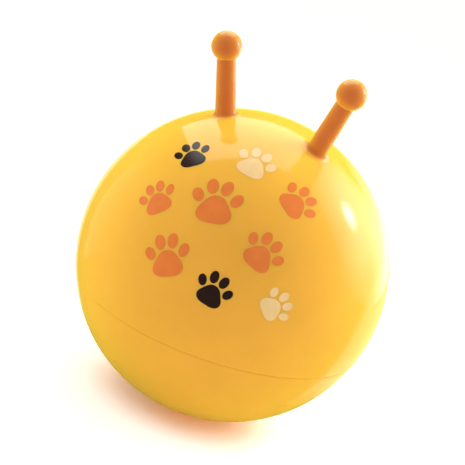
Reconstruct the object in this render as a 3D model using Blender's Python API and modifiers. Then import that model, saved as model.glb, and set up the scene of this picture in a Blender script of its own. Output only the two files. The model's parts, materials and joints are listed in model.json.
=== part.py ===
"""An inflatable hopper ball: two welded vinyl shells, two soft horn handles and a plug valve.

Run with: blender --background --python part.py
Units are metres and +Z is up. The origin is on the floor, in the middle of the ball's contact patch,
and the hopper's front faces -Y.
"""

import math

import bpy
from mathutils import Matrix, Vector

# Clearance between pieces that touch, and the mesh's merge distance
GAP = 0.0003
MERGE = 0.00001

# Ball
BALL_RADIUS = 0.225
SKIN_THICKNESS = 0.0015
CONTACT_RADIUS = 0.033
SEAM_DROP = 0.069
SEAM_LAP = 0.010

# Where the horns stand, seen from the ball's middle: out from the pole, and forward as a pair
HORN_SPREAD = math.radians(17.9)
HORN_SPLAY = math.radians(14.2)
HORN_LEAN = math.radians(11.3)

# Horns: reach is from the ball's skin to the middle of the knob
HORN_REACH = 0.0964
HORN_WALL = 0.003
STEM_FOOT_RADIUS = 0.0147
STEM_TOP_RADIUS = 0.0133
SPIGOT_RADIUS = 0.0088
SPIGOT_WALL = 0.002
KNOB_RADIUS = 0.0211
KNOB_WALL = 0.003
KNOB_FLOOR_DROP = 0.008
AIR_HOLE_RADIUS = 0.004

# Horn roots: a flared skirt outside the skin, a neck through it and a flange inside
FLARE_RADIUS = 0.006
SKIRT_EDGE = 0.0008
NECK_RADIUS = 0.0115
ROOT_FLANGE_RADIUS = 0.0185
ROOT_FLANGE_THICKNESS = 0.0025
FLEX_RIM = 0.0015

# Valve
VALVE_LATITUDE = math.radians(12)
VALVE_LIP_RADIUS = 0.0135
VALVE_LIP_HEIGHT = 0.0014
VALVE_LIP_ROUND = 0.0008
VALVE_COLLAR_RADIUS = 0.0105
VALVE_FLANGE_RADIUS = 0.017
VALVE_FLANGE_THICKNESS = 0.002
VALVE_TUBE_RADIUS = 0.0072
VALVE_TUBE_DEPTH = 0.024
VALVE_BORE_RADIUS = 0.0045
VALVE_RECESS_DEPTH = 0.0016
PLUG_HEAD_RADIUS = 0.0078
PLUG_HEAD_THICKNESS = 0.0023
PLUG_HEAD_ROUND = 0.0007
PLUG_SHANK_LENGTH = 0.017
PLUG_TIP_LENGTH = 0.003
PLUG_TIP_RADIUS = 0.0028
PLUG_GROOVE_DEPTH = 0.0006
PLUG_RIBS = 3

# Facets
BALL_STEPS = 48
UPPER_RINGS = 13
LOWER_RINGS = 8
HORN_STEPS = 32
VALVE_STEPS = 24

# Sizes that follow from those above
CENTRE_HEIGHT = math.sqrt(BALL_RADIUS ** 2 - CONTACT_RADIUS ** 2)
INNER_RADIUS = BALL_RADIUS - SKIN_THICKNESS
SEAM_ANGLE = math.pi / 2 + math.asin(SEAM_DROP / BALL_RADIUS)
LAP_ANGLE = SEAM_LAP / BALL_RADIUS
RIM_ANGLE = GAP / 2 / BALL_RADIUS
SKIRT_TOP = SKIRT_EDGE + FLARE_RADIUS
SKIRT_RADIUS = STEM_FOOT_RADIUS + FLARE_RADIUS
FLEX_RADIUS = STEM_FOOT_RADIUS + FLEX_RIM
FLEX_HEIGHT = SKIRT_TOP + math.sqrt(FLEX_RADIUS ** 2 - STEM_FOOT_RADIUS ** 2)
FOOT_RADIUS = FLEX_RADIUS - GAP
KNOB_HEIGHT = HORN_REACH - FLEX_HEIGHT
SOCKET_RADIUS = SPIGOT_RADIUS + GAP
VALVE_RECESS_FLOOR = VALVE_LIP_HEIGHT - VALVE_RECESS_DEPTH
PLUG_SHANK_RADIUS = VALVE_BORE_RADIUS - GAP


def clear_scene():
    for leftover in list(bpy.data.objects):
        bpy.data.objects.remove(leftover, do_unlink=True)


def new_collection(name):
    collection = bpy.data.collections.new(name)
    bpy.context.scene.collection.children.link(collection)
    return collection


def linear(channel):
    """One sRGB channel, 0 to 1, as the linear value that a shader takes."""
    return channel / 12.92 if channel <= 0.04045 else ((channel + 0.055) / 1.055) ** 2.4


def vinyl(name, hex_colour, roughness):
    material = bpy.data.materials.new(name)
    material.use_nodes = True
    shader = material.node_tree.nodes["Principled BSDF"]
    channels = [int(hex_colour[i:i + 2], 16) / 255 for i in (0, 2, 4)]
    shader.inputs["Base Color"].default_value = (*map(linear, channels), 1.0)
    shader.inputs["Roughness"].default_value = roughness
    shader.inputs["Metallic"].default_value = 0.0
    return material


def circle_height(radius, offset):
    """How far a circle's edge stands above its middle, at an offset from its axis."""
    return math.sqrt(radius ** 2 - offset ** 2)


def arc(radius, start, end, steps, middle=(0.0, 0.0)):
    """Points on a circle, by their angle from straight up, as (radius, height) pairs."""
    angles = [start + (end - start) * i / steps for i in range(steps + 1)]
    return [(middle[0] + radius * math.sin(a), middle[1] + radius * math.cos(a)) for a in angles]


def turned(name, outline, steps, collection, material=None, closed=False):
    """A turned body: an outline that runs down its outer side, swept round Z."""
    mesh = bpy.data.meshes.new(name)
    edges = [(i, i + 1) for i in range(len(outline) - 1)]
    if closed:
        edges.append((len(outline) - 1, 0))
    mesh.from_pydata([(radius, 0.0, height) for radius, height in outline], edges, [])
    if material:
        mesh.materials.append(material)
    body = bpy.data.objects.new(name, mesh)
    collection.objects.link(body)
    screw = body.modifiers.new("Turn", "SCREW")
    screw.axis = "Z"
    screw.steps = steps
    screw.render_steps = steps
    screw.use_merge_vertices = True
    screw.merge_threshold = MERGE
    return body


def cutter(name, outline, steps, frame):
    """A turned body that only shapes other bodies."""
    body = turned(name, outline, steps, cutters)
    body.parent = frame
    body.hide_render = True
    body.display_type = "WIRE"
    return body


def rod(radius, top, bottom):
    """The outline of a plain round bar."""
    return [(0.0, top), (radius, top), (radius, bottom), (0.0, bottom)]


def boolean(body, operation, other):
    modifier = body.modifiers.new(operation.title() + " " + other.name, "BOOLEAN")
    modifier.operation = operation
    modifier.solver = "EXACT"
    modifier.object = other


def frame(name, parent, matrix):
    """An empty that places what is parented to it."""
    empty = bpy.data.objects.new(name, None)
    parts.objects.link(empty)
    empty.parent = parent
    empty.matrix_basis = matrix
    return empty


def flange_sag(flange_radius, tilt):
    """How far the skin falls away under a flange's edge."""
    return BALL_RADIUS - circle_height(BALL_RADIUS, flange_radius) + flange_radius * math.tan(abs(tilt))


def upper_ring_angles():
    """Rings of the upper shell, the last two along the lap and its rim."""
    lap_top = SEAM_ANGLE - LAP_ANGLE
    return [lap_top * i / UPPER_RINGS for i in range(UPPER_RINGS + 1)] + [SEAM_ANGLE - RIM_ANGLE]


def on_ring(radius, angle):
    return (radius * math.sin(angle), radius * math.cos(angle))


def ball_cutter(name, radius):
    """A whole ball with the upper shell's facets, to fit pieces to the skin."""
    angles = upper_ring_angles()
    below = [SEAM_ANGLE + (math.pi - SEAM_ANGLE) * i / LOWER_RINGS for i in range(1, LOWER_RINGS + 1)]
    return cutter(name, [on_ring(radius, a) for a in angles + below], BALL_STEPS, ball_frame)


def make_upper_shell():
    angles = upper_ring_angles()
    outer = [on_ring(BALL_RADIUS, a) for a in angles]
    inner = [on_ring(INNER_RADIUS, a) for a in reversed(angles)]
    shell = turned("upper_shell", outer + inner, BALL_STEPS, parts, yellow_vinyl)
    shell.parent = ball_frame
    return shell


def make_lower_shell():
    """The bowl under the seam, with a flat contact patch and a lip inside the upper shell."""
    lip_outer = INNER_RADIUS - GAP
    lip_inner = lip_outer - SKIN_THICKNESS
    floor_inside = CENTRE_HEIGHT - SKIN_THICKNESS
    inner_patch = math.pi - math.acos(floor_inside / INNER_RADIUS)
    outer_patch = math.pi - math.asin(CONTACT_RADIUS / BALL_RADIUS)
    lap_top = SEAM_ANGLE - LAP_ANGLE
    lap_bottom = SEAM_ANGLE + LAP_ANGLE
    rim = SEAM_ANGLE + RIM_ANGLE
    outline = [(0.0, -floor_inside)]
    outline += arc(INNER_RADIUS, inner_patch, lap_bottom, LOWER_RINGS)
    outline += [on_ring(lip_inner, rim), on_ring(lip_inner, lap_top), on_ring(lip_outer, lap_top)]
    outline += [on_ring(lip_outer, rim)]
    outline += arc(BALL_RADIUS, rim, outer_patch, LOWER_RINGS)
    outline += [(0.0, -CENTRE_HEIGHT)]
    shell = turned("lower_shell", outline, BALL_STEPS, parts, yellow_vinyl)
    shell.parent = ball_frame
    return shell


def horn_matrix(side):
    """The horn's foot on the skin, with Z along the horn and Y square to the pair's plane."""
    lean = Matrix.Rotation(HORN_LEAN, 3, "X")
    foot = lean @ Vector((side * math.sin(HORN_SPREAD), 0.0, math.cos(HORN_SPREAD)))
    axis_z = lean @ Vector((side * math.sin(HORN_SPLAY), 0.0, math.cos(HORN_SPLAY)))
    axis_y = lean @ Vector((0.0, 1.0, 0.0))
    turn = Matrix((axis_y.cross(axis_z), axis_y, axis_z)).transposed()
    return Matrix.Translation(foot * BALL_RADIUS) @ turn.to_4x4()


def make_horn_root(side_name, foot_frame):
    """A flared skirt on the skin, a neck through it and a flange inside, with a dish for the stem."""
    tilt = HORN_SPREAD - HORN_SPLAY
    flange_middle = -(SKIN_THICKNESS + GAP + flange_sag(ROOT_FLANGE_RADIUS, tilt) + ROOT_FLANGE_THICKNESS / 2)
    flange_bottom = flange_middle - ROOT_FLANGE_THICKNESS / 2
    flare_middle = (SKIRT_RADIUS, SKIRT_TOP)
    outline = [(0.0, FLEX_HEIGHT - FLEX_RIM * 2), (STEM_FOOT_RADIUS, FLEX_HEIGHT - FLEX_RIM * 2)]
    outline += arc(FLARE_RADIUS, -math.pi / 2, -math.pi, 6, flare_middle)
    outline += [(SKIRT_RADIUS, -SKIRT_RADIUS), (0.0, -SKIRT_RADIUS)]
    root = turned(side_name + "_horn_root", outline, HORN_STEPS, parts, orange_vinyl)
    root.parent = foot_frame
    boolean(root, "DIFFERENCE", skin_outside)

    flange = cutter(side_name + "_root_flange", rod(ROOT_FLANGE_RADIUS, SKIRT_TOP, flange_bottom),
                    HORN_STEPS, foot_frame)
    boolean(flange, "INTERSECT", skin_inside)
    neck = cutter(side_name + "_root_neck", rod(NECK_RADIUS, SKIRT_TOP / 2, flange_middle), HORN_STEPS, foot_frame)
    dish_outline = arc(FLEX_RADIUS, 0.0, math.pi, HORN_STEPS // 2, (0.0, FLEX_HEIGHT))
    dish = cutter(side_name + "_root_dish", dish_outline, HORN_STEPS, foot_frame)
    air_hole = cutter(side_name + "_root_air_hole",
                      rod(AIR_HOLE_RADIUS, FLEX_HEIGHT, flange_bottom - ROOT_FLANGE_THICKNESS),
                      HORN_STEPS, foot_frame)
    boolean(root, "UNION", flange)
    boolean(root, "UNION", neck)
    boolean(root, "DIFFERENCE", dish)
    boolean(root, "DIFFERENCE", air_hole)

    neck_hole = cutter(side_name + "_neck_hole", rod(NECK_RADIUS + GAP, SKIRT_RADIUS, -SKIRT_RADIUS),
                       HORN_STEPS, foot_frame)
    boolean(upper_shell, "DIFFERENCE", neck_hole)


def make_horn_grip(side_name, flex_frame):
    """A hollow tapered stem, with a round foot in the root's dish and a spigot for the knob."""
    spigot_bore = SPIGOT_RADIUS - SPIGOT_WALL
    seat_radius = KNOB_RADIUS + GAP
    inner_foot = FOOT_RADIUS - HORN_WALL
    bore_foot = STEM_FOOT_RADIUS - HORN_WALL
    bore_top = STEM_TOP_RADIUS - HORN_WALL
    bore_shoulder = KNOB_HEIGHT - seat_radius - HORN_WALL
    spigot_top = KNOB_HEIGHT - KNOB_FLOOR_DROP
    outline = [(spigot_bore, spigot_top), (SPIGOT_RADIUS, spigot_top)]
    outline += arc(seat_radius, math.pi - math.asin(SPIGOT_RADIUS / seat_radius),
                   math.pi - math.asin(STEM_TOP_RADIUS / seat_radius), 3, (0.0, KNOB_HEIGHT))
    outline += arc(FOOT_RADIUS, math.pi - math.asin(STEM_FOOT_RADIUS / FOOT_RADIUS),
                   math.pi - math.asin(AIR_HOLE_RADIUS / FOOT_RADIUS), 6)
    outline += arc(inner_foot, math.pi - math.asin(AIR_HOLE_RADIUS / inner_foot),
                   math.pi - math.asin(bore_foot / inner_foot), 5)
    outline += [(bore_top, bore_shoulder - HORN_WALL), (spigot_bore, bore_shoulder)]
    grip = turned(side_name + "_horn_grip", outline, HORN_STEPS, parts, orange_vinyl, closed=True)
    grip.parent = flex_frame


def make_horn_knob(side_name, flex_frame):
    """A hollow ball end, with a socket for the stem's spigot."""
    cavity = KNOB_RADIUS - KNOB_WALL
    outline = arc(KNOB_RADIUS, 0.0, math.pi - math.asin(SOCKET_RADIUS / KNOB_RADIUS), 12)
    outline += [(SOCKET_RADIUS, -KNOB_FLOOR_DROP)]
    outline += arc(cavity, math.pi - math.acos(KNOB_FLOOR_DROP / cavity), 0.0, 6)
    knob = turned(side_name + "_horn_knob", outline, HORN_STEPS, parts, orange_vinyl)
    knob.parent = flex_frame
    knob.location = (0.0, 0.0, KNOB_HEIGHT)


def make_horn(side_name, side):
    foot_frame = frame(side_name + "_horn_foot", ball_frame, horn_matrix(side))
    flex_frame = frame(side_name + "_horn_flex", foot_frame, Matrix.Translation((0.0, 0.0, FLEX_HEIGHT)))
    make_horn_root(side_name, foot_frame)
    make_horn_grip(side_name, flex_frame)
    make_horn_knob(side_name, flex_frame)


def make_valve_seat(valve_frame):
    """A grommet through the skin: a lip outside, a flange inside and a tube for the plug."""
    flange_middle = -(SKIN_THICKNESS + GAP + flange_sag(VALVE_FLANGE_RADIUS, 0.0) + VALVE_FLANGE_THICKNESS / 2)
    flange_bottom = flange_middle - VALVE_FLANGE_THICKNESS / 2
    edge_middle = (VALVE_LIP_RADIUS - VALVE_LIP_ROUND, VALVE_LIP_HEIGHT - VALVE_LIP_ROUND)
    outline = [(0.0, VALVE_LIP_HEIGHT)]
    outline += arc(VALVE_LIP_ROUND, 0.0, math.pi / 2, 3, edge_middle)
    outline += [(VALVE_LIP_RADIUS, -VALVE_LIP_RADIUS), (0.0, -VALVE_LIP_RADIUS)]
    seat = turned("valve_seat", outline, VALVE_STEPS, parts, yellow_vinyl)
    seat.parent = valve_frame
    boolean(seat, "DIFFERENCE", skin_outside)

    flange = cutter("valve_flange", rod(VALVE_FLANGE_RADIUS, VALVE_FLANGE_RADIUS, flange_bottom),
                    VALVE_STEPS, valve_frame)
    boolean(flange, "INTERSECT", skin_inside)
    core_outline = [(0.0, VALVE_LIP_HEIGHT / 2), (VALVE_COLLAR_RADIUS, VALVE_LIP_HEIGHT / 2)]
    core_outline += [(VALVE_COLLAR_RADIUS, flange_middle), (VALVE_TUBE_RADIUS, flange_middle)]
    core_outline += [(VALVE_TUBE_RADIUS, -VALVE_TUBE_DEPTH), (0.0, -VALVE_TUBE_DEPTH)]
    core = cutter("valve_core", core_outline, VALVE_STEPS, valve_frame)
    recess = PLUG_HEAD_RADIUS + GAP
    above = VALVE_LIP_HEIGHT + VALVE_LIP_RADIUS
    below = -VALVE_TUBE_DEPTH - VALVE_BORE_RADIUS
    bore_outline = [(0.0, above), (recess, above), (recess, VALVE_RECESS_FLOOR)]
    bore_outline += [(VALVE_BORE_RADIUS, VALVE_RECESS_FLOOR), (VALVE_BORE_RADIUS, below), (0.0, below)]
    bore = cutter("valve_bore", bore_outline, VALVE_STEPS, valve_frame)
    boolean(seat, "UNION", flange)
    boolean(seat, "UNION", core)
    boolean(seat, "DIFFERENCE", bore)

    collar_hole = cutter("valve_collar_hole",
                         rod(VALVE_COLLAR_RADIUS + GAP, VALVE_FLANGE_RADIUS, -VALVE_FLANGE_RADIUS),
                         VALVE_STEPS, valve_frame)
    boolean(upper_shell, "DIFFERENCE", collar_hole)


def make_valve_plug(valve_frame):
    """A stopper with a round-edged head and sealing ribs along its shank."""
    head_bottom = VALVE_RECESS_FLOOR + GAP
    head_top = head_bottom + PLUG_HEAD_THICKNESS
    edge_middle = (PLUG_HEAD_RADIUS - PLUG_HEAD_ROUND, head_top - PLUG_HEAD_ROUND)
    groove_radius = PLUG_SHANK_RADIUS - PLUG_GROOVE_DEPTH
    rib_pitch = (PLUG_SHANK_LENGTH - PLUG_TIP_LENGTH) / PLUG_RIBS
    outline = [(0.0, head_top)]
    outline += arc(PLUG_HEAD_ROUND, 0.0, math.pi / 2, 3, edge_middle)
    outline += [(PLUG_HEAD_RADIUS, head_bottom)]
    for rib in range(PLUG_RIBS):
        groove_top = head_bottom - rib * rib_pitch
        rib_top = groove_top - rib_pitch / 2
        outline += [(groove_radius, groove_top), (groove_radius, rib_top), (PLUG_SHANK_RADIUS, rib_top)]
        outline += [(PLUG_SHANK_RADIUS, groove_top - rib_pitch)]
    outline += [(PLUG_TIP_RADIUS, head_bottom - PLUG_SHANK_LENGTH), (0.0, head_bottom - PLUG_SHANK_LENGTH)]
    plug = turned("valve_plug", outline, VALVE_STEPS, parts, white_vinyl)
    plug.parent = valve_frame


def make_valve():
    """The valve sits at the back, square to the skin."""
    turn = Matrix.Rotation(VALVE_LATITUDE - math.pi / 2, 4, "X")
    valve_frame = frame("valve_axis", ball_frame, turn @ Matrix.Translation((0.0, 0.0, BALL_RADIUS)))
    make_valve_seat(valve_frame)
    make_valve_plug(valve_frame)


clear_scene()
parts = new_collection("Animal hopper")
cutters = new_collection("Cutters")

yellow_vinyl = vinyl("Yellow vinyl", "F0AC3A", 0.22)
orange_vinyl = vinyl("Orange vinyl", "DE8038", 0.28)
white_vinyl = vinyl("White vinyl", "ECE6D8", 0.35)

ball_frame = frame("ball_centre", None, Matrix.Translation((0.0, 0.0, CENTRE_HEIGHT)))
skin_outside = ball_cutter("skin_outside", BALL_RADIUS + GAP)
skin_inside = ball_cutter("skin_inside", INNER_RADIUS - GAP)

upper_shell = make_upper_shell()
lower_shell = make_lower_shell()
make_horn("left", -1)
make_horn("right", 1)
make_valve()
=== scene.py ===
"""Looks of an inflatable hopper ball with two horn handles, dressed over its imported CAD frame.

Laid out as an add-on, and run as a script in Blender 4.5.
Units are metres, +Z is up and the front faces -Y.
"""

import json
import math

import bmesh
import bpy
from bpy.props import FloatProperty, FloatVectorProperty, PointerProperty
from mathutils import Matrix, Vector


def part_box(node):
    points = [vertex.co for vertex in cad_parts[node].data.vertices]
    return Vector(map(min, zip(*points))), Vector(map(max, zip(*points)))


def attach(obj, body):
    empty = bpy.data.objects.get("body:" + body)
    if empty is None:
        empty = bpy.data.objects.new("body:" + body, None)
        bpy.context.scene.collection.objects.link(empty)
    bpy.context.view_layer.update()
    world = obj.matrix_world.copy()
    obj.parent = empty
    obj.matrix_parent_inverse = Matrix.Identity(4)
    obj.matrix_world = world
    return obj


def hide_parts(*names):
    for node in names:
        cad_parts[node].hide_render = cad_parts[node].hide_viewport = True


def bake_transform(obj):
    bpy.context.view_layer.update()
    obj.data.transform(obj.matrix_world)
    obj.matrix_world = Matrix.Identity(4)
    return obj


bl_info = {
    "name": "Hopper ball",
    "version": (1, 0, 0),
    "blender": (4, 5, 0),
    "location": "View3D > Sidebar > Hopper",
    "description": "Dresses a hopper ball's CAD frame with its vinyl skin, horns, print and valve",
    "category": "Object",
}

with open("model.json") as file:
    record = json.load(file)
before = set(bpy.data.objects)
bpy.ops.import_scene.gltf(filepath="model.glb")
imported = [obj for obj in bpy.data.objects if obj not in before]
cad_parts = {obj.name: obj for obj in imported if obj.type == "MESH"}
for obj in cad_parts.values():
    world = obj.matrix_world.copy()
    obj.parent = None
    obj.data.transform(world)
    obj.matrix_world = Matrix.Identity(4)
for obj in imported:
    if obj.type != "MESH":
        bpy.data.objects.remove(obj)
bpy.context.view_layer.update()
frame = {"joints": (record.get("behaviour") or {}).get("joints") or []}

MM = 0.001

# What the frame gives: the ball, its seam, the two horns and the valve
SHELL_LOW, SHELL_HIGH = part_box("upper_shell")
BALL_RADIUS = (SHELL_HIGH.x - SHELL_LOW.x) / 2
BALL_CENTRE = Vector((0.0, 0.0, SHELL_HIGH.z - BALL_RADIUS))
SEAM_HEIGHT = SHELL_LOW.z
JOINTS = {joint["name"]: joint for joint in frame["joints"]}
KNOB_LOW, KNOB_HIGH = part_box("left_horn_knob")
KNOB_RADIUS = (KNOB_HIGH.x - KNOB_LOW.x) / 2
VALVE_AXIS = Vector(JOINTS["valve_plug_pull"]["axis"]).normalized()

# The photograph's camera, in the photograph's own pixels where it is a place in the picture
PHOTO_PIXELS = 465
FOCAL_PIXELS = 1387.3
BALL_MIDDLE_PIXEL = (232.4, 264.4)
VIEW_DISTANCE = 2.0
VIEW_AZIMUTH = math.radians(14.0)
VIEW_ELEVATION = math.radians(17.48)
VIEW_ROLL = math.radians(19.21)
SENSOR_WIDTH_MM = 36.0

# The studio's fill in front of the object and behind it, with white as 1, and the cosines of the angle
# from straight behind between which it changes
FRONT_FILL = 0.73
REAR_FILL = 0.3
FILL_EDGE = (-0.1, 0.6)

# What the gloss shows, with white as 1: a dim room, a backdrop behind the object and a patch of paper.
# The edges are cosines of the angle from the middle of each, seen from the ball. The patch's heading is
# right, up and back as the camera has them, and it starts clear of the ball's foot, in metres
ROOM_LEVEL = 0.08
BACKDROP_LEVEL = 0.7
BACKDROP_EDGE = (0.92, 0.95)
PATCH_LEVEL = 1.0
PATCH_EDGE = (0.49, 0.55)
PATCH_HEADING = (0.03, -0.6, -1.0)
PATCH_START = (0.2, 0.32)

# The paper floor: half its side in metres, and the light that is added to it for the camera alone, which
# comes in between two distances from the ball's foot, so that the paper is white outside the shadow. Inside
# the nearer distance none is added, which paints shade round the foot on top of the real shadow
FLOOR_HALF = 15.0
PAPER_LIFT = 0.42
PAINTED_SHADE_REACH = (0.075, 0.17)
WHITE = (1.0, 1.0, 1.0, 1.0)

# The lamps, as add_soft_box takes them: metres in the camera's axes, and radiance with white as 1
SOFT_BOXES = {
    "Top soft box": {"middle": (0.16, 1.2, -0.28), "facing": (0, 1, 0), "size": (1.2, 1.24),
                     "radiance": 2.6},
    "Left fill": {"middle": (-1.3, 0.6, 0.0), "size": (1.2, 1.2), "radiance": 2.52, "gloss": False},
    "Right fill": {"middle": (1.3, 0.45, 0.25), "size": (1.2, 1.2), "radiance": 1.7, "gloss": False},
    "Left strip": {"middle": (-0.645, 0.25, -0.08), "facing": (-0.7, 0.2, -0.6), "size": (0.4, 0.7),
                   "radiance": 0.5, "hot": (0.0, 0.5), "reach": 1.0, "matt": False},
    "Right umbrella": {"middle": (1.38, 0.36, -0.3), "size": (1.5, 1.8), "radiance": 3.5,
                       "hot": (0.5, 0.6), "reach": 0.72},
    "Right panel": {"middle": (1.05, 0.12, -1.15), "size": (1.4, 1.3), "radiance": 3.0, "reach": 0.62,
                    "matt": False},
    "Right lamp": {"middle": (1.24, 0.52, -0.125), "size": (0.32, 0.44), "radiance": 16.0, "reach": 0.5},
}

# The warm light under the ball's front, in watts and metres
GLOW_POWER = 0.5
GLOW_SIZE = 40 * MM
GLOW_PLACE = (80 * MM, -30 * MM, 70 * MM)

# Light that the vinyl lets through at its rims, on the ball and on the horns
LEMON_SHEEN = "F0E830"
GOLDEN_SHEEN = "F4DC3C"

# Small sizes of the skin: the finely meshed band to each side of the joint line, how far down the lower
# shell's set-in fades out, and how much deeper the valve's pocket is than its tube
SEAM_BAND = 6 * MM
STEP_FADE = 20 * MM
POCKET_DEEPER = 1.2

# Small sizes of a horn: how far its skirt's edge lies in the skin
SKIRT_SINK = 0.6 * MM

# Small sizes of the valve: play between stopper and grommet, rounding of edges, the stopper's plain tip and
# the flat on it, its ribs, and the shallow dish in its head with its depth at the side and in the middle
VALVE_PLAY = 0.3 * MM
VALVE_EDGE = 0.7 * MM
STOPPER_TIP = 3 * MM
STOPPER_TIP_FLAT = 2.2 * MM
STOPPER_RIBS = 3
DISH_RADIUS = 2.5 * MM
DISH_SIDE = 0.25 * MM
DISH_MIDDLE = 0.3 * MM

# Mesh fineness
BALL_SIDES = 192
UPPER_RINGS = 150
SEAM_RINGS = 48
LOWER_RINGS = 60
HORN_SIDES = 72
STEM_RINGS = 28
ARC_STEPS = 24
VALVE_SIDES = 64
PAD_POINTS = 40
PAD_RINGS = 5
MERGE = 1e-5
SHARP_ANGLE = math.radians(40)

# The print: each paw's place on the skin in mm from the print's middle, right and up,
# half its main pad's width in mm, and its turn in degrees
ORANGE_PAWS = [
    (-16, 14, 23, 10),
    (76, 66, 19, -32),
    (-94, -2, 18, 38),
    (62, -22, 19, -18),
    (-48, -74, 21, 24),
]
CREAM_PAWS = [
    (4, 92, 19, -8),
    (104, -76, 16, -44),
]
BROWN_PAWS = [
    (-78, 76, 17, 34),
    (22, -92, 17, -10),
]
# A paw's main pad, which is 1 wide each way: how far its lobes stand out, its height and its drop
PAD_LOBE = 0.11
PAD_HEIGHT = 0.84
PAD_DROP = 0.1
# Its toes in the same measure: place, half sizes and turn in degrees
TOES = [
    (-1.14, 0.72, 0.33, 0.45, 30),
    (-0.43, 1.36, 0.35, 0.49, 10),
    (0.43, 1.36, 0.35, 0.49, -10),
    (1.14, 0.72, 0.33, 0.45, -30),
]


def linear(hex_colour):
    """An sRGB hex colour as the linear red, green and blue that a shader takes."""
    channels = [int(hex_colour[start:start + 2], 16) / 255 for start in (0, 2, 4)]
    return tuple(c / 12.92 if c <= 0.04045 else ((c + 0.055) / 1.055) ** 2.4 for c in channels)


def camera_axes():
    """Right, up and back of the photograph's camera."""
    back = Vector((math.sin(VIEW_AZIMUTH) * math.cos(VIEW_ELEVATION),
                   -math.cos(VIEW_AZIMUTH) * math.cos(VIEW_ELEVATION), math.sin(VIEW_ELEVATION)))
    level = Vector((math.cos(VIEW_AZIMUTH), math.sin(VIEW_AZIMUTH), 0.0))
    upright = back.cross(level)
    right = level * math.cos(VIEW_ROLL) + upright * math.sin(VIEW_ROLL)
    return right, back.cross(right), back


def from_camera(place):
    """A place or direction in the camera's axes, right, up and back, as one in the scene's."""
    return Matrix(camera_axes()).transposed() @ Vector(place)


class HopperSizes(bpy.types.PropertyGroup):
    """Sizes of the dressed hopper."""

    ball_radius: FloatProperty(
        name="Ball radius", description="Outside of the inflated skin",
        default=BALL_RADIUS, min=0.05, unit="LENGTH")
    seam_height: FloatProperty(
        name="Seam height", description="Joint line of the two shells, above the floor",
        default=SEAM_HEIGHT, unit="LENGTH")
    seam_width: FloatProperty(
        name="Seam groove half width", description="How far the joint line's groove reaches to each side",
        default=0.9 * MM, unit="LENGTH")
    seam_depth: FloatProperty(
        name="Seam groove depth", description="Depth of the joint line's groove",
        default=1.1 * MM, unit="LENGTH")
    seam_step: FloatProperty(
        name="Seam step", description="How far the lower shell is set in at the joint line",
        default=0.5 * MM, unit="LENGTH")
    skin_swell: FloatProperty(
        name="Skin swell", description="Gentle unevenness of the inflated skin",
        default=0.15 * MM, unit="LENGTH")
    stem_foot_radius: FloatProperty(
        name="Stem foot radius", description="Horn stem just over its flare",
        default=14.7 * MM, unit="LENGTH")
    stem_top_radius: FloatProperty(
        name="Stem top radius", description="Horn stem just under its knob",
        default=13.3 * MM, unit="LENGTH")
    knob_radius: FloatProperty(
        name="Knob radius", description="Ball end of a horn",
        default=KNOB_RADIUS, unit="LENGTH")
    crease_radius: FloatProperty(
        name="Crease radius", description="Hollow rounding where the stem meets its knob",
        default=1.2 * MM, unit="LENGTH")
    flare_radius: FloatProperty(
        name="Flare radius", description="Hollow rounding where the stem runs out on the ball",
        default=9.0 * MM, unit="LENGTH")
    root_depth: FloatProperty(
        name="Root depth", description="How deep the horn's root goes inside the ball",
        default=18.0 * MM, unit="LENGTH")
    fade_height: FloatProperty(
        name="Colour fade height", description="Where the horn's orange is full, above the ball's skin",
        default=3.5 * MM, unit="LENGTH")
    print_azimuth: FloatProperty(
        name="Print azimuth", description="Middle of the print, round from the front",
        default=math.radians(5), subtype="ANGLE")
    print_elevation: FloatProperty(
        name="Print elevation", description="Middle of the print, above the ball's equator",
        default=math.radians(29), subtype="ANGLE")
    ink_height: FloatProperty(
        name="Ink height", description="How far the printed film stands on the skin",
        default=0.25 * MM, unit="LENGTH")
    ink_sink: FloatProperty(
        name="Ink sink", description="How far the printed film's underside lies in the skin",
        default=0.6 * MM, unit="LENGTH")
    valve_lip_radius: FloatProperty(
        name="Valve lip radius", description="Outer edge of the valve's grommet",
        default=13.5 * MM, unit="LENGTH")
    valve_lip_height: FloatProperty(
        name="Valve lip height", description="How far the grommet stands on the skin",
        default=1.4 * MM, unit="LENGTH")
    valve_recess_depth: FloatProperty(
        name="Valve recess depth", description="Seat of the stopper's head, below the lip",
        default=1.6 * MM, unit="LENGTH")
    valve_tube_radius: FloatProperty(
        name="Valve tube radius", description="Outside of the grommet's tube",
        default=7.2 * MM, unit="LENGTH")
    valve_tube_depth: FloatProperty(
        name="Valve tube depth", description="How deep the grommet's tube goes",
        default=24.0 * MM, unit="LENGTH")
    valve_bore_radius: FloatProperty(
        name="Valve bore radius", description="Hole of the grommet's tube",
        default=4.5 * MM, unit="LENGTH")
    stopper_head_radius: FloatProperty(
        name="Stopper head radius", description="Head of the valve's stopper",
        default=7.8 * MM, unit="LENGTH")
    stopper_head_thickness: FloatProperty(
        name="Stopper head thickness", description="Thickness of the stopper's head",
        default=2.3 * MM, unit="LENGTH")
    stopper_shank_length: FloatProperty(
        name="Stopper shank length", description="Length of the stopper below its head",
        default=17.0 * MM, unit="LENGTH")


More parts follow.
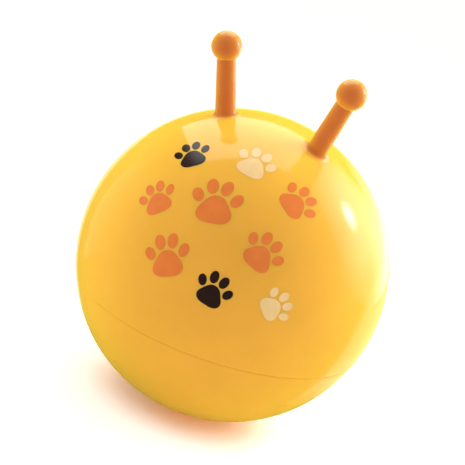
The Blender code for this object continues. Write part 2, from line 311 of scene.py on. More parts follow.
class HopperColours(bpy.types.PropertyGroup):
    """Colours of the dressed hopper, linear as Blender's colour buttons are."""

    skin_yellow: FloatVectorProperty(
        name="Skin yellow", description="Vinyl of the ball",
        default=linear("F1A746"), subtype="COLOR", min=0, max=1)
    horn_orange: FloatVectorProperty(
        name="Horn orange", description="Vinyl of the horns",
        default=linear("CE6138"), subtype="COLOR", min=0, max=1)
    ink_orange: FloatVectorProperty(
        name="Orange ink", description="Most of the printed paws",
        default=linear("EA7E36"), subtype="COLOR", min=0, max=1)
    ink_cream: FloatVectorProperty(
        name="Cream ink", description="The pale printed paws",
        default=linear("F4CE8E"), subtype="COLOR", min=0, max=1)
    ink_brown: FloatVectorProperty(
        name="Brown ink", description="The dark printed paws",
        default=linear("2C1812"), subtype="COLOR", min=0, max=1)
    stopper_white: FloatVectorProperty(
        name="Stopper white", description="Vinyl of the valve's stopper",
        default=linear("D6D0C2"), subtype="COLOR", min=0, max=1)
    floor_white: FloatVectorProperty(
        name="Floor white", description="Paper that the hopper stands on",
        default=linear("F4F2EE"), subtype="COLOR", min=0, max=1)


def add(tree, kind, inputs=None, **settings):
    """A new node in the tree, with its settings, and each input set to a value, or linked to a socket or
    to the first output of a node."""
    node = tree.nodes.new(kind)
    for name, value in settings.items():
        setattr(node, name, value)
    for key, value in (inputs or {}).items():
        if isinstance(value, bpy.types.Node):
            value = value.outputs[0]
        if isinstance(value, bpy.types.NodeSocket):
            tree.links.new(value, node.inputs[key])
        else:
            node.inputs[key].default_value = value
    return node


def new_material(name):
    """An empty node material and its tree."""
    material = bpy.data.materials.new(name)
    material.use_nodes = True
    material.node_tree.nodes.clear()
    return material, material.node_tree


def cast_vinyl(name, colour, roughness, scatter_mm, sheen=0.7, sheen_roughness=0.8,
               sheen_tint=LEMON_SHEEN, colour_socket=None):
    """Plasticised PVC cast in a polished mould: glossy, lets light into its thickness, and has a faint
    orange peel and a slightly uneven tint and gloss that only the highlights show."""
    material, tree = new_material(name)
    place = add(tree, "ShaderNodeTexCoord").outputs["Object"]
    # Tint drifts over about 90 mm and gloss over about 25 mm. The peel's cells are drawn 3 mm across, which
    # is coarser than real, so that they show
    drift = add(tree, "ShaderNodeTexNoise", {"Vector": place, "Scale": 1 / (90 * MM), "Detail": 2.0})
    gloss = add(tree, "ShaderNodeTexNoise", {"Vector": place, "Scale": 1 / (25 * MM), "Detail": 3.0})
    peel = add(tree, "ShaderNodeTexNoise", {"Vector": place, "Scale": 1 / (3 * MM), "Detail": 1.0})
    value = add(tree, "ShaderNodeMapRange",
                {"Value": drift, "From Min": 0.3, "From Max": 0.7, "To Min": 0.96, "To Max": 1.04})
    tint = add(tree, "ShaderNodeHueSaturation", {"Value": value, "Color": (*colour, 1.0)})
    if colour_socket:
        tree.links.new(colour_socket(tree), tint.inputs["Color"])
    rough = add(tree, "ShaderNodeMapRange",
                {"Value": gloss, "From Min": 0.3, "From Max": 0.7,
                 "To Min": roughness * 0.85, "To Max": roughness * 1.2})
    bump = add(tree, "ShaderNodeBump", {"Height": peel, "Strength": 0.04, "Distance": 0.2 * MM})
    shader = add(tree, "ShaderNodeBsdfPrincipled",
                 {"Base Color": tint, "Roughness": rough, "Normal": bump, "IOR": 1.53,
                  "Subsurface Weight": 0.5, "Subsurface Radius": (1.0, 0.45, 0.12),
                  "Subsurface Scale": scatter_mm * MM,
                  "Sheen Weight": sheen, "Sheen Roughness": sheen_roughness,
                  "Sheen Tint": (*linear(sheen_tint), 1.0)})
    add(tree, "ShaderNodeOutputMaterial", {"Surface": shader})
    return material


def screen_ink(name, colour):
    """Vinyl screen ink under the same gloss as the skin: an opaque film, slightly uneven in density."""
    material, tree = new_material(name)
    place = add(tree, "ShaderNodeTexCoord").outputs["Object"]
    # Ink density drifts over about 14 mm. The film's grain is drawn 1.5 mm across, coarser than real
    density = add(tree, "ShaderNodeTexNoise", {"Vector": place, "Scale": 1 / (14 * MM), "Detail": 3.0})
    grain = add(tree, "ShaderNodeTexNoise", {"Vector": place, "Scale": 1 / (1.5 * MM), "Detail": 1.0})
    value = add(tree, "ShaderNodeMapRange",
                {"Value": density, "From Min": 0.3, "From Max": 0.7, "To Min": 0.95, "To Max": 1.05})
    tint = add(tree, "ShaderNodeHueSaturation", {"Value": value, "Color": (*colour, 1.0)})
    rough = add(tree, "ShaderNodeMapRange", {"Value": grain, "To Min": 0.16, "To Max": 0.26})
    bump = add(tree, "ShaderNodeBump", {"Height": grain, "Strength": 0.05, "Distance": 0.1 * MM})
    shader = add(tree, "ShaderNodeBsdfPrincipled",
                 {"Base Color": tint, "Roughness": rough, "Normal": bump, "IOR": 1.5})
    add(tree, "ShaderNodeOutputMaterial", {"Surface": shader})
    return material


def root_fade_colour(orange, yellow):
    """A colour socket that runs from the ball's yellow at a horn's foot to the horn's orange."""
    def make(tree):
        fade = add(tree, "ShaderNodeAttribute", attribute_name="root_fade").outputs["Fac"]
        mix = add(tree, "ShaderNodeMix", {"Factor": fade, "A": (*yellow, 1.0), "B": (*orange, 1.0)},
                  data_type="RGBA")
        return mix.outputs["Result"]
    return make


def paper_sweep(colour):
    """Matt white paper: the camera sees it near white except round the ball's foot, where its added light is
    left out as painted shade over the real shadow, and the object's gloss shows only a patch of it behind
    it."""
    material, tree = new_material("White paper")
    paper = add(tree, "ShaderNodeBsdfDiffuse", {"Color": (*colour, 1.0), "Roughness": 0.5})
    seen = add(tree, "ShaderNodeLightPath").outputs
    place = add(tree, "ShaderNodeTexCoord").outputs["Object"]
    away = add(tree, "ShaderNodeVectorMath", {0: place}, operation="LENGTH").outputs["Value"]
    # Painted shade: the camera-only lift fades to nothing towards the ball's foot, darker than the real
    # shadow alone
    lift_past_painted_shade = add(tree, "ShaderNodeMapRange",
              {"Value": away, "From Min": PAINTED_SHADE_REACH[0], "From Max": PAINTED_SHADE_REACH[1],
               "To Min": 0.0, "To Max": PAPER_LIFT}, interpolation_type="SMOOTHSTEP")
    share = add(tree, "ShaderNodeMath", {0: seen["Is Camera Ray"], 1: lift_past_painted_shade}, operation="MULTIPLY")
    glow = add(tree, "ShaderNodeEmission", {"Color": WHITE, "Strength": share})
    lit = add(tree, "ShaderNodeAddShader", {0: paper, 1: glow})
    # How far a place on the paper is behind the ball, seen from the ball's middle
    arm = add(tree, "ShaderNodeVectorMath", {0: place, 1: BALL_CENTRE}, operation="SUBTRACT")
    heading = add(tree, "ShaderNodeVectorMath", {0: arm}, operation="NORMALIZE")
    behind = add(tree, "ShaderNodeVectorMath",
                 {0: heading, 1: from_camera(PATCH_HEADING).normalized()}, operation="DOT_PRODUCT")
    cone = add(tree, "ShaderNodeMapRange",
               {"Value": behind.outputs["Value"], "From Min": PATCH_EDGE[0], "From Max": PATCH_EDGE[1]})
    clear_of_ball = add(tree, "ShaderNodeMapRange",
                        {"Value": away, "From Min": PATCH_START[0], "From Max": PATCH_START[1]})
    patch = add(tree, "ShaderNodeMath", {0: cone, 1: clear_of_ball}, operation="MULTIPLY")
    level = add(tree, "ShaderNodeMapRange", {"Value": patch, "To Min": ROOM_LEVEL, "To Max": PATCH_LEVEL})
    shown = add(tree, "ShaderNodeEmission", {"Color": WHITE, "Strength": level})
    mix = add(tree, "ShaderNodeMixShader", {0: seen["Is Glossy Ray"], 1: lit, 2: shown})
    add(tree, "ShaderNodeOutputMaterial", {"Surface": mix})
    return material


def new_object(name, data, material=None):
    """An object in the scene, at the origin: a piece, whose place is in its mesh, a lamp or the camera."""
    made = bpy.data.objects.new(name, data)
    bpy.context.scene.collection.objects.link(made)
    if material:
        data.materials.append(material)
    return made


def note_on_points(mesh, name, values):
    """A number for each point of a mesh, kept under a name that nodes can read."""
    mesh.attributes.new(name, "FLOAT", "POINT").data.foreach_set("value", values)


def close_mesh(shape, mesh):
    """Write a bmesh to a mesh, with its doubles merged and its faces pointing outwards."""
    bmesh.ops.remove_doubles(shape, verts=shape.verts, dist=MERGE)
    bmesh.ops.recalc_face_normals(shape, faces=shape.faces)
    shape.to_mesh(mesh)
    shape.free()


def mesh_of(name, shape, smooth=True):
    """A plain mesh of a bmesh."""
    mesh = bpy.data.meshes.new(name)
    close_mesh(shape, mesh)
    mesh.polygons.foreach_set("use_smooth", [smooth] * len(mesh.polygons))
    mesh.set_sharp_from_angle(angle=SHARP_ANGLE)
    return mesh


def skin_rings(shape, rings):
    """Faces between rings of vertices, each ring a list, with a list of one for a pole."""
    made = [[shape.verts.new(point) for point in ring] for ring in rings]
    for upper, lower in zip(made, made[1:]):
        sides = max(len(upper), len(lower))
        for side in range(sides):
            after = (side + 1) % sides
            corners = [upper[side % len(upper)], upper[after % len(upper)],
                       lower[after % len(lower)], lower[side % len(lower)]]
            shape.faces.new(list(dict.fromkeys(corners)))


def arc(middle, radius, start, end, steps):
    """Points of an arc in the plane of distance from the axis and height, angles from outwards to up."""
    turns = [start + (end - start) * step / steps for step in range(steps + 1)]
    return [(middle[0] + radius * math.cos(turn), middle[1] + radius * math.sin(turn)) for turn in turns]


def across(axis):
    """Two directions square to an axis and to each other."""
    side = axis.orthogonal().normalized()
    return side, axis.cross(side)


def turned_piece(name, outline, sides, foot, axis, material):
    """A closed piece turned round an axis, from an outline of distances from it and heights above foot."""
    side, other = across(axis)
    rings = []
    for reach, height in outline:
        count = sides if reach > MERGE else 1
        turns = [2 * math.pi * step / sides for step in range(count)]
        rings.append([foot + axis * height + (side * math.cos(turn) + other * math.sin(turn)) * reach
                      for turn in turns])
    shape = bmesh.new()
    skin_rings(shape, rings)
    return new_object(name, mesh_of(name, shape), material)


def new_tree(name, **labels):
    """A Geometry Nodes tree with one geometry in and out and the inputs that are named under each kind."""
    tree = bpy.data.node_groups.new(name, "GeometryNodeTree")
    tree.interface.new_socket("Geometry", in_out="INPUT", socket_type="NodeSocketGeometry")
    tree.interface.new_socket("Geometry", in_out="OUTPUT", socket_type="NodeSocketGeometry")
    for kind, names in labels.items():
        for label in names:
            tree.interface.new_socket(label, in_out="INPUT", socket_type=f"NodeSocket{kind}")
    return tree, add(tree, "NodeGroupInput").outputs


def end_tree(tree, shape, material):
    """The end of a tree: a plain smooth mesh of the material."""
    smooth = add(tree, "GeometryNodeSetShadeSmooth", {"Geometry": shape})
    plain = add(tree, "GeometryNodeRealizeInstances", {"Geometry": smooth})
    dressed = add(tree, "GeometryNodeSetMaterial", {"Geometry": plain, "Material": material})
    add(tree, "NodeGroupOutput", {0: dressed})
    return tree


def made_by_nodes(name, seed, tree, values):
    """A piece whose mesh is what the tree makes of a seed mesh, as a plain mesh with no modifier left."""
    piece = new_object(name, seed)
    modifier = piece.modifiers.new("Shape", "NODES")
    modifier.node_group = tree
    for item in tree.interface.items_tree:
        if item.in_out == "INPUT" and item.name in values:
            modifier[item.identifier] = values[item.name]
    depsgraph = bpy.context.evaluated_depsgraph_get()
    mesh = bpy.data.meshes.new_from_object(piece.evaluated_get(depsgraph), depsgraph=depsgraph)
    piece.modifiers.remove(modifier)
    piece.data = mesh
    mesh.name = name
    shape = bmesh.new()
    shape.from_mesh(mesh)
    close_mesh(shape, mesh)
    mesh.set_sharp_from_angle(angle=SHARP_ANGLE)
    return piece


def ball_zone_tree():
    """A band of a ball of radius 1 between two angles from the pole."""
    tree, given = new_tree("Ball zone", Float=("Top Angle", "Bottom Angle"), Int=("Rings", "Sides"))
    across_count = add(tree, "ShaderNodeMath", {0: given["Sides"], 1: 1.0}, operation="ADD")
    down_count = add(tree, "ShaderNodeMath", {0: given["Rings"], 1: 1.0}, operation="ADD")
    grid = add(tree, "GeometryNodeMeshGrid",
               {"Size X": 1.0, "Size Y": 1.0, "Vertices X": across_count, "Vertices Y": down_count})
    flat = add(tree, "ShaderNodeSeparateXYZ", {0: add(tree, "GeometryNodeInputPosition")})
    round_turn = add(tree, "ShaderNodeMath", {0: flat.outputs["X"], 1: 2 * math.pi}, operation="MULTIPLY")
    polar = add(tree, "ShaderNodeMapRange",
                {"Value": flat.outputs["Y"], "From Min": -0.5, "From Max": 0.5,
                 "To Min": given["Top Angle"], "To Max": given["Bottom Angle"]})
    reach = add(tree, "ShaderNodeMath", {0: polar}, operation="SINE")
    height = add(tree, "ShaderNodeMath", {0: polar}, operation="COSINE")
    sine = add(tree, "ShaderNodeMath", {0: round_turn}, operation="SINE")
    cosine = add(tree, "ShaderNodeMath", {0: round_turn}, operation="COSINE")
    east = add(tree, "ShaderNodeMath", {0: reach, 1: cosine}, operation="MULTIPLY")
    north = add(tree, "ShaderNodeMath", {0: reach, 1: sine}, operation="MULTIPLY")
    place = add(tree, "ShaderNodeCombineXYZ", {"X": east, "Y": north, "Z": height})
    band = add(tree, "GeometryNodeSetPosition", {"Geometry": grid, "Position": place})
    add(tree, "NodeGroupOutput", {0: band})
    return tree


def ball_skin_tree():
    """The inflated skin: three bands of a ball, with the joint line's groove and step, a gentle swell,
    a flat where it meets the floor and a pocket for the valve."""
    tree, given = new_tree(
        "Ball skin",
        Float=("Ball Radius", "Seam Angle", "Seam Band", "Groove Half Width", "Groove Depth", "Lower Step",
               "Step Fade", "Swell", "Pocket Radius", "Pocket Depth"),
        Vector=("Ball Centre", "Pocket Place", "Pocket Turn"),
        Material=("Vinyl",))
    zone = ball_zone_tree()
    seam, half_band = given["Seam Angle"], given["Seam Band"]
    seam_top = add(tree, "ShaderNodeMath", {0: seam, 1: half_band}, operation="SUBTRACT")
    seam_bottom = add(tree, "ShaderNodeMath", {0: seam, 1: half_band}, operation="ADD")
    bands = add(tree, "GeometryNodeJoinGeometry")
    for top, bottom, rings in ((0.0, seam_top, UPPER_RINGS),
                               (seam_top, seam_bottom, SEAM_RINGS),
                               (seam_bottom, math.pi, LOWER_RINGS)):
        band = add(tree, "GeometryNodeGroup",
                   {"Top Angle": top, "Bottom Angle": bottom, "Rings": rings, "Sides": BALL_SIDES},
                   node_tree=zone)
        tree.links.new(band.outputs[0], bands.inputs[0])
    ball = add(tree, "GeometryNodeMergeByDistance", {"Geometry": bands, "Distance": MERGE})

    # Distance from the joint line along the skin, downwards
    spot = add(tree, "GeometryNodeInputPosition")
    out = add(tree, "ShaderNodeVectorMath", {0: spot}, operation="NORMALIZE")
    upwards = add(tree, "ShaderNodeSeparateXYZ", {0: out})
    polar = add(tree, "ShaderNodeMath", {0: upwards.outputs["Z"]}, operation="ARCCOSINE")
    below = add(tree, "ShaderNodeMath", {0: polar, 1: seam}, operation="SUBTRACT")
    along = add(tree, "ShaderNodeMath", {0: below, 1: given["Ball Radius"]}, operation="MULTIPLY")

    # A round-bottomed groove, and the lower shell set in under it, less and less further down
    widths = add(tree, "ShaderNodeMath", {0: along, 1: given["Groove Half Width"]}, operation="DIVIDE")
    square = add(tree, "ShaderNodeMath", {0: widths, 1: widths}, operation="MULTIPLY")
    fall = add(tree, "ShaderNodeMath", {0: square, 1: -1.0}, operation="MULTIPLY")
    bell = add(tree, "ShaderNodeMath", {0: fall}, operation="EXPONENT")
    groove = add(tree, "ShaderNodeMath", {0: bell, 1: given["Groove Depth"]}, operation="MULTIPLY")
    fades = add(tree, "ShaderNodeMath", {0: along, 1: given["Step Fade"]}, operation="DIVIDE")
    fading = add(tree, "ShaderNodeMath", {0: fades, 1: -1.0}, operation="MULTIPLY")
    rest = add(tree, "ShaderNodeMath", {0: fading}, operation="EXPONENT")
    under = add(tree, "ShaderNodeMath", {0: along, 1: 0.0}, operation="GREATER_THAN")
    inset = add(tree, "ShaderNodeMath", {0: rest, 1: under}, operation="MULTIPLY")
    step = add(tree, "ShaderNodeMath", {0: inset, 1: given["Lower Step"]}, operation="MULTIPLY")
    # The swell's waves are about a third of the ball's radius long
    noise = add(tree, "ShaderNodeTexNoise", {"Vector": out, "Scale": 3.0, "Detail": 0.0})
    wave = add(tree, "ShaderNodeMath", {0: noise, 1: 0.5}, operation="SUBTRACT")
    swell = add(tree, "ShaderNodeMath", {0: wave, 1: given["Swell"]}, operation="MULTIPLY")

    grooved = add(tree, "ShaderNodeMath", {0: given["Ball Radius"], 1: groove}, operation="SUBTRACT")
    stepped = add(tree, "ShaderNodeMath", {0: grooved, 1: step}, operation="SUBTRACT")
    radius = add(tree, "ShaderNodeMath", {0: stepped, 1: swell}, operation="ADD")
    arm = add(tree, "ShaderNodeVectorMath", {0: out, "Scale": radius}, operation="SCALE")
    place = add(tree, "ShaderNodeVectorMath", {0: arm, 1: given["Ball Centre"]}, operation="ADD")
    parts = add(tree, "ShaderNodeSeparateXYZ", {0: place})
    over_floor = add(tree, "ShaderNodeMath", {0: parts.outputs["Z"], 1: 0.0}, operation="MAXIMUM")
    rested = add(tree, "ShaderNodeCombineXYZ",
                 {"X": parts.outputs["X"], "Y": parts.outputs["Y"], "Z": over_floor})
    skin = add(tree, "GeometryNodeSetPosition", {"Geometry": ball, "Position": rested})

    # The valve's pocket
    length = add(tree, "ShaderNodeMath", {0: given["Pocket Depth"], 1: 2.0}, operation="MULTIPLY")
    drill = add(tree, "GeometryNodeMeshCylinder",
                {"Vertices": VALVE_SIDES, "Radius": given["Pocket Radius"], "Depth": length})
    placed = add(tree, "GeometryNodeTransform",
                 {"Geometry": drill, "Translation": given["Pocket Place"], "Rotation": given["Pocket Turn"]})
    cut = add(tree, "GeometryNodeMeshBoolean", {"Mesh 1": skin, "Mesh 2": placed}, operation="DIFFERENCE")
    return end_tree(tree, cut, given["Vinyl"])


def print_tree():
    """Stamps a flat shape at each point of a layout, then wraps the layout round the ball."""
    tree, given = new_tree("Print", Object=("Stamp",), Float=("Ball Radius",),
                           Vector=("Ball Centre", "Print Turn"), Material=("Ink",))
    stamp = add(tree, "GeometryNodeObjectInfo", {"Object": given["Stamp"]})
    turn = add(tree, "GeometryNodeInputNamedAttribute", {"Name": "turn"}, data_type="FLOAT")
    size = add(tree, "GeometryNodeInputNamedAttribute", {"Name": "size"}, data_type="FLOAT")
    turns = add(tree, "ShaderNodeCombineXYZ", {"Z": turn.outputs["Attribute"]})
    rotation = add(tree, "FunctionNodeEulerToRotation", {0: turns})
    scale = add(tree, "ShaderNodeCombineXYZ",
                {"X": size.outputs["Attribute"], "Y": size.outputs["Attribute"], "Z": 1.0})
    stamped = add(tree, "GeometryNodeInstanceOnPoints",
                  {"Points": given["Geometry"], "Instance": stamp.outputs["Geometry"],
                   "Rotation": rotation, "Scale": scale})
    flat = add(tree, "GeometryNodeRealizeInstances", {"Geometry": stamped})

    # Distance from the print's middle becomes an angle at the ball's middle
    spot = add(tree, "ShaderNodeSeparateXYZ", {0: add(tree, "GeometryNodeInputPosition")})
    level = add(tree, "ShaderNodeCombineXYZ", {"X": spot.outputs["X"], "Y": spot.outputs["Y"]})
    distance = add(tree, "ShaderNodeVectorMath", {0: level}, operation="LENGTH").outputs["Value"]
    heading = add(tree, "ShaderNodeVectorMath", {0: level}, operation="NORMALIZE")
    angle = add(tree, "ShaderNodeMath", {0: distance, 1: given["Ball Radius"]}, operation="DIVIDE")
    sine = add(tree, "ShaderNodeMath", {0: angle}, operation="SINE")
    cosine = add(tree, "ShaderNodeMath", {0: angle}, operation="COSINE")
    sideways = add(tree, "ShaderNodeVectorMath", {0: heading, "Scale": sine}, operation="SCALE")
    outwards = add(tree, "ShaderNodeCombineXYZ", {"Z": cosine})
    out = add(tree, "ShaderNodeVectorMath", {0: sideways, 1: outwards}, operation="ADD")
    radius = add(tree, "ShaderNodeMath", {0: given["Ball Radius"], 1: spot.outputs["Z"]}, operation="ADD")
    arm = add(tree, "ShaderNodeVectorMath", {0: out, "Scale": radius}, operation="SCALE")
    faced = add(tree, "ShaderNodeVectorRotate", {"Vector": arm, "Rotation": given["Print Turn"]},
                rotation_type="EULER_XYZ")
    place = add(tree, "ShaderNodeVectorMath", {0: faced, 1: given["Ball Centre"]}, operation="ADD")
    wrapped = add(tree, "GeometryNodeSetPosition", {"Geometry": flat, "Position": place})
    return end_tree(tree, wrapped, given["Ink"])


def main_pad_outline():
    """A paw's main pad: a round with three soft lobes, one of them towards the toes."""
    points = []
    for step in range(PAD_POINTS):
        turn = 2 * math.pi * step / PAD_POINTS
        reach = 1 + PAD_LOBE * math.cos(3 * (turn - math.pi / 2))
        points.append(Vector((reach * math.cos(turn), PAD_HEIGHT * reach * math.sin(turn) - PAD_DROP)))
    return points, Vector((0.0, -PAD_DROP))


def toe_outline(right, up, half_width, half_length, turn_degrees):
    """One toe of a paw: an oval."""
    middle = Vector((right, up))
    lean = Matrix.Rotation(math.radians(turn_degrees), 2)
    turns = [2 * math.pi * step / PAD_POINTS for step in range(PAD_POINTS)]
    points = [middle + lean @ Vector((half_width * math.cos(turn), half_length * math.sin(turn)))
              for turn in turns]
    return points, middle


def paw_stamp(top, bottom):
    """A flat paw of five closed slabs, half its main pad's width being 1."""
    shape = bmesh.new()
    for outline, middle in [main_pad_outline()] + [toe_outline(*toe) for toe in TOES]:
        upper, lower = [], []
        for ring in range(PAD_RINGS + 1):
            share = ring / PAD_RINGS
            spots = [middle + (point - middle) * share for point in (outline if ring else outline[:1])]
            upper.append([(spot.x, spot.y, top) for spot in spots])
            lower.append([(spot.x, spot.y, bottom) for spot in spots])
        skin_rings(shape, upper + lower[::-1])
    return mesh_of("paw_stamp", shape, smooth=False)


class HOPPER_OT_ball_skin(bpy.types.Operator):
    """Make the inflated skin with its joint line"""
    bl_idname = "hopper.ball_skin"
    bl_label = "Ball skin"

    def execute(self, context):
        sizes = context.scene.hopper_sizes
        colours = context.scene.hopper_colours
        vinyl = cast_vinyl("Cast yellow vinyl", colours.skin_yellow, roughness=0.1, scatter_mm=20)
        drop = BALL_CENTRE.z - sizes.seam_height
        values = {
            "Ball Radius": sizes.ball_radius,
            "Ball Centre": BALL_CENTRE,
            "Seam Angle": math.pi / 2 + math.asin(drop / sizes.ball_radius),
            "Seam Band": SEAM_BAND / sizes.ball_radius,
            "Groove Half Width": sizes.seam_width,
            "Groove Depth": sizes.seam_depth,
            "Lower Step": sizes.seam_step,
            "Step Fade": STEP_FADE,
            "Swell": sizes.skin_swell,
            "Pocket Radius": (sizes.valve_lip_radius + sizes.valve_tube_radius) / 2,
            "Pocket Depth": sizes.valve_tube_depth * POCKET_DEEPER,
            "Pocket Place": BALL_CENTRE + VALVE_AXIS * sizes.ball_radius,
            "Pocket Turn": VALVE_AXIS.to_track_quat("Z", "Y").to_euler(),
            "Vinyl": vinyl,
        }
        skin = made_by_nodes("ball_skin", bpy.data.meshes.new("ball_skin_seed"), ball_skin_tree(), values)
        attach(skin, "ball")
        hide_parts("upper_shell", "lower_shell")
        return {"FINISHED"}


def horn_rings(sizes, foot, axis, reach):
    """Rings of a horn from its root inside the ball to the top of its knob.

    foot is where the horn's axis meets the skin, and reach is from there to the knob's middle."""
    side, other = across(axis)
    turns = [2 * math.pi * step / HORN_SIDES for step in range(HORN_SIDES)]
    spokes = [side * math.cos(turn) + other * math.sin(turn) for turn in turns]

    def over_skin(spoke, distance, height):
        """How far along the axis a point at this distance from it is at this height over the skin."""
        arm = foot + spoke * distance - BALL_CENTRE
        along = arm.dot(axis)
        return math.sqrt(along ** 2 - arm.length_squared + (sizes.ball_radius + height) ** 2) - along

    def skin_ring(distance, height):
        return [foot + spoke * distance + axis * over_skin(spoke, distance, height) for spoke in spokes]

    flare = sizes.flare_radius
    skirt = sizes.stem_foot_radius + flare
    bottom = -sizes.root_depth
    rings = [[foot + axis * bottom], skin_ring(skirt + SKIRT_SINK, bottom),
             skin_ring(skirt + SKIRT_SINK, -SKIRT_SINK)]
    for step in range(ARC_STEPS // 2 + 1):
        turn = math.pi / 2 * step / (ARC_STEPS // 2)
        rings.append(skin_ring(skirt - flare * math.sin(turn), flare * (1 - math.cos(turn))))

    crease = sizes.crease_radius
    crease_reach = sizes.stem_top_radius + crease
    drop = math.sqrt((sizes.knob_radius + crease) ** 2 - crease_reach ** 2)
    stem_top = reach - drop
    for step in range(1, STEM_RINGS):
        share = step / STEM_RINGS
        distance = sizes.stem_foot_radius + (sizes.stem_top_radius - sizes.stem_foot_radius) * share
        ring = []
        for spoke in spokes:
            start = over_skin(spoke, sizes.stem_foot_radius, flare)
            ring.append(foot + spoke * distance + axis * (start + (stem_top - start) * share))
        rings.append(ring)
    to_knob = math.atan2(drop, -crease_reach)
    outline = arc((crease_reach, stem_top), crease, math.pi, to_knob, ARC_STEPS // 4)
    outline += arc((0.0, reach), sizes.knob_radius, to_knob - math.pi, math.pi / 2, ARC_STEPS)[1:-1]
    rings += [[foot + spoke * distance + axis * height for spoke in spokes] for distance, height in outline]
    rings.append([foot + axis * (reach + sizes.knob_radius)])
    return rings


class HOPPER_OT_horns(bpy.types.Operator):
    """Make the two soft horns, each in one piece from its flare to its knob"""
    bl_idname = "hopper.horns"
    bl_label = "Horns"

    def execute(self, context):
        sizes = context.scene.hopper_sizes
        colours = context.scene.hopper_colours
        fade = root_fade_colour(tuple(colours.horn_orange), tuple(colours.skin_yellow))
        vinyl = cast_vinyl("Cast orange vinyl", colours.horn_orange, roughness=0.1, scatter_mm=14,
                           sheen=1.0, sheen_roughness=0.68, sheen_tint=GOLDEN_SHEEN, colour_socket=fade)
        for name in ("left_horn", "right_horn"):
            low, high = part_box(f"{name}_knob")
            knob = (low + high) / 2
            axis = (knob - Vector(JOINTS[f"{name}_flex"]["pos_m"])).normalized()
            along = (knob - BALL_CENTRE).dot(axis)
            aside = (knob - BALL_CENTRE).length_squared - along ** 2
            reach = along - math.sqrt(sizes.ball_radius ** 2 - aside)
            foot = knob - axis * reach
            shape = bmesh.new()
            skin_rings(shape, horn_rings(sizes, foot, axis, reach))
            mesh = mesh_of(f"{name}_skin", shape)
            heights = [(vertex.co - BALL_CENTRE).length - sizes.ball_radius for vertex in mesh.vertices]
            shares = [min(max(height / sizes.fade_height, 0.0), 1.0) for height in heights]
            note_on_points(mesh, "root_fade", [share * share * (3 - 2 * share) for share in shares])
            horn = new_object(f"{name}_skin", mesh, vinyl)
            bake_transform(horn)
            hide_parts(f"{name}_root", f"{name}_grip", f"{name}_knob")
        return {"FINISHED"}


class HOPPER_OT_paw_print(bpy.types.Operator):
    """Print a scatter of paws on the ball's front, a film of ink for each colour"""
    bl_idname = "hopper.paw_print"
    bl_label = "Paw print"

    def execute(self, context):
        sizes = context.scene.hopper_sizes
        colours = context.scene.hopper_colours
        stamp = new_object("paw_stamp", paw_stamp(sizes.ink_height, -sizes.ink_sink))
        tree = print_tree()
        prints = (("orange_paws", ORANGE_PAWS, colours.ink_orange, "orange_vinyl"),
                  ("cream_paws", CREAM_PAWS, colours.ink_cream, "white_vinyl"),
                  ("brown_paws", BROWN_PAWS, colours.ink_brown, "orange_vinyl"))
        for name, paws, colour, slot in prints:
            layout = bpy.data.meshes.new(f"{name}_layout")
            layout.from_pydata([(right * MM, up * MM, 0.0) for right, up, half, turn in paws], [], [])
            note_on_points(layout, "size", [half * MM for right, up, half, turn in paws])
            note_on_points(layout, "turn", [math.radians(turn) for right, up, half, turn in paws])
            values = {
                "Stamp": stamp,
                "Ball Radius": sizes.ball_radius,
                "Ball Centre": BALL_CENTRE,
                "Print Turn": (math.pi / 2 - sizes.print_elevation, 0.0, sizes.print_azimuth),
                "Ink": screen_ink(f"Screen ink {name}", colour),
            }
            film = made_by_nodes(name, layout, tree, values)
            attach(film, "ball")
        bpy.data.objects.remove(stamp, do_unlink=True)
        return {"FINISHED"}


